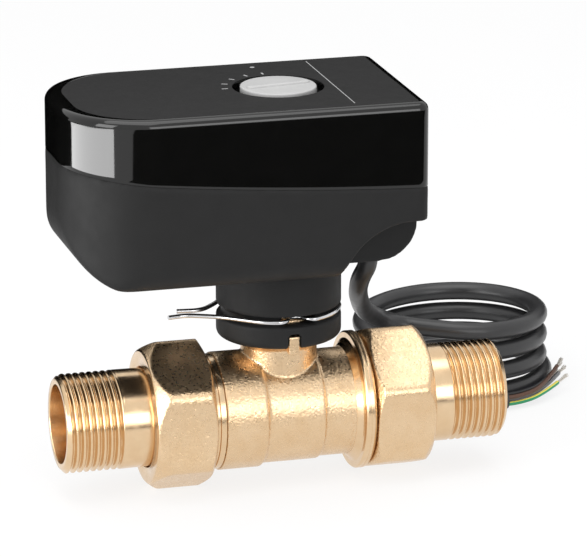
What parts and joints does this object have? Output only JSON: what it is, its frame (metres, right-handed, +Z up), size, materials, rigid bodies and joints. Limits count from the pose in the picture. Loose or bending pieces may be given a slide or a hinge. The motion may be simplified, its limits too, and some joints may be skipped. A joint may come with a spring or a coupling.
{
  "type": "motorized ball valve",
  "caption": "Motorized two-way brass ball valve with union ends, electric actuator and coiled cable",
  "frame": {"origin": "centre of the left pipe end's face, on the pipe's axis", "axes": "+X along the pipe from the left end to the right, +Y away from the front, +Z up the stem"},
  "size_m": [0.2052, 0.1658, 0.1372],
  "materials": {
    "cast_brass": "sand-cast, fine grain",
    "union_nut_brass": "cast faces, machined chamfers",
    "turned_brass": "machined, satin",
    "chromed_ball": "polished",
    "stem_brass": "machined",
    "seat_plastic": "smooth",
    "seal_rubber": "smooth",
    "gasket_fibre": "smooth",
    "clip_steel": "polished wire",
    "housing_matte": "matte, fine spark texture",
    "cover_gloss": "high gloss",
    "plate_matte": "matte film",
    "knob_plastic": "satin",
    "bush_bronze": "sintered",
    "machine_steel": "machined",
    "cam_plastic": "smooth",
    "switch_plastic": "smooth",
    "plunger_plastic": "smooth",
    "gear_plastic": "smooth",
    "motor_steel": "plated sheet",
    "board_green": "varnished",
    "terminal_plastic": "smooth",
    "capacitor_sleeve": "shrink sleeve",
    "gland_rubber": "smooth",
    "clamp_plastic": "smooth",
    "cable_sheath": "satin sheath",
    "core_green_yellow_sheath": "striped insulation",
    "core_blue_sheath": "insulation",
    "core_brown_sheath": "insulation",
    "core_black_sheath": "insulation",
    "core_grey_sheath": "insulation",
    "tinned_copper": "tinned strands"
  },
  "bodies": {
    "frame": {"valve_body": "cast_brass", "end_connector": "turned_brass", "seat_left": "seat_plastic", "seat_right": "seat_plastic", "stem_washer": "seat_plastic", "cover_seal": "seal_rubber", "knob_seal": "seal_rubber", "gasket_left": "gasket_fibre", "gasket_right": "gasket_fibre", "retaining_clip": "clip_steel", "base_housing": "housing_matte", "cover": "cover_gloss", "top_plate": "plate_matte", "shaft_bush": "bush_bronze", "idler_axle": "machine_steel", "plate_screws": "machine_steel", "board_screws": "machine_steel", "housing_screws": "machine_steel", "switch_lower": "switch_plastic", "switch_upper": "switch_plastic", "switch_bracket": "switch_plastic", "relay": "switch_plastic", "motor": "motor_steel", "gear_plate_lower": "motor_steel", "gear_plate_upper": "motor_steel", "plate_spacers": "motor_steel", "circuit_board": "board_green", "terminal_block": "terminal_plastic", "capacitor": "capacitor_sleeve", "cable_gland": "gland_rubber", "cable_clamp": "clamp_plastic", "inner_lead": "cable_sheath", "cable_run": "cable_sheath", "cable_coil": "cable_sheath", "core_green_yellow": "core_green_yellow_sheath", "core_blue": "core_blue_sheath", "core_brown": "core_brown_sheath", "core_black": "core_black_sheath", "core_grey": "core_grey_sheath", "core_tips": "tinned_copper"},
    "output_drive": {"output_shaft": "machine_steel", "output_gear": "gear_plastic", "cam_lower": "cam_plastic", "cam_upper": "cam_plastic"},
    "ball_drive": {"ball": "chromed_ball", "stem": "stem_brass", "stem_o_rings": "seal_rubber"},
    "idler": {"idler_gear": "gear_plastic"},
    "rotor": {"motor_pinion": "machine_steel"},
    "indicator": {"knob": "knob_plastic"},
    "lower_press": {"switch_plunger_lower": "plunger_plastic"},
    "upper_press": {"switch_plunger_upper": "plunger_plastic"},
    "left_tail": {"tail_left": "turned_brass"},
    "right_tail": {"tail_right": "turned_brass"},
    "left_nut": {"union_nut_left": "union_nut_brass"},
    "right_nut": {"union_nut_right": "union_nut_brass"}
  },
  "joints": [
    {"name": "output_turn", "type": "hinge", "parent": "frame", "child": "output_drive", "pos_m": [0.076, 0, 0.0902], "axis": [0, 0, 1], "range_deg": [0, 90]},
    {"name": "ball_turn", "type": "hinge", "parent": "frame", "child": "ball_drive", "pos_m": [0.076, 0, 0], "axis": [0, 0, 1], "range_deg": [0, 90]},
    {"name": "idler_turn", "type": "hinge", "parent": "frame", "child": "idler", "pos_m": [0.0485, 0, 0.0869], "axis": [0, 0, 1], "range_deg": [-360, 0]},
    {"name": "rotor_turn", "type": "hinge", "parent": "frame", "child": "rotor", "pos_m": [0.0277, 0, 0.0846], "axis": [0, 0, 1], "range_deg": [0, 1200]},
    {"name": "knob_push", "type": "slide", "parent": "output_drive", "child": "indicator", "axis": [0, 0, -1], "range_m": [0, 0.0025], "stiffness_N_per_m": 400},
    {"name": "lower_switch_press", "type": "slide", "parent": "frame", "child": "lower_press", "axis": [1, 0, 0], "range_m": [0, 0.0006], "stiffness_N_per_m": 300},
    {"name": "upper_switch_press", "type": "slide", "parent": "frame", "child": "upper_press", "axis": [1, 0, 0], "range_m": [0, 0.0006], "stiffness_N_per_m": 300},
    {"name": "left_union_part", "type": "slide", "parent": "frame", "child": "left_tail", "axis": [-1, 0, 0], "range_m": [0, 0.00923]},
    {"name": "right_union_part", "type": "slide", "parent": "frame", "child": "right_tail", "axis": [1, 0, 0], "range_m": [0, 0.00923]},
    {"name": "left_nut_turn", "type": "hinge", "parent": "left_tail", "child": "left_nut", "pos_m": [0.038, 0, 0], "axis": [-1, 0, 0], "range_deg": [0, 1440]},
    {"name": "right_nut_turn", "type": "hinge", "parent": "right_tail", "child": "right_nut", "pos_m": [0.114, 0, 0], "axis": [1, 0, 0], "range_deg": [0, 1440]}
  ],
  "couplings": [
    {"joint": "ball_turn", "follows": "output_turn", "ratio": 1},
    {"joint": "idler_turn", "follows": "output_turn", "ratio": -4},
    {"joint": "rotor_turn", "follows": "output_turn", "ratio": 13.333},
    {"joint": "left_nut_turn", "follows": "left_union_part", "rad_per_m": 2721.2},
    {"joint": "right_nut_turn", "follows": "right_union_part", "rad_per_m": 2721.2}
  ]
}
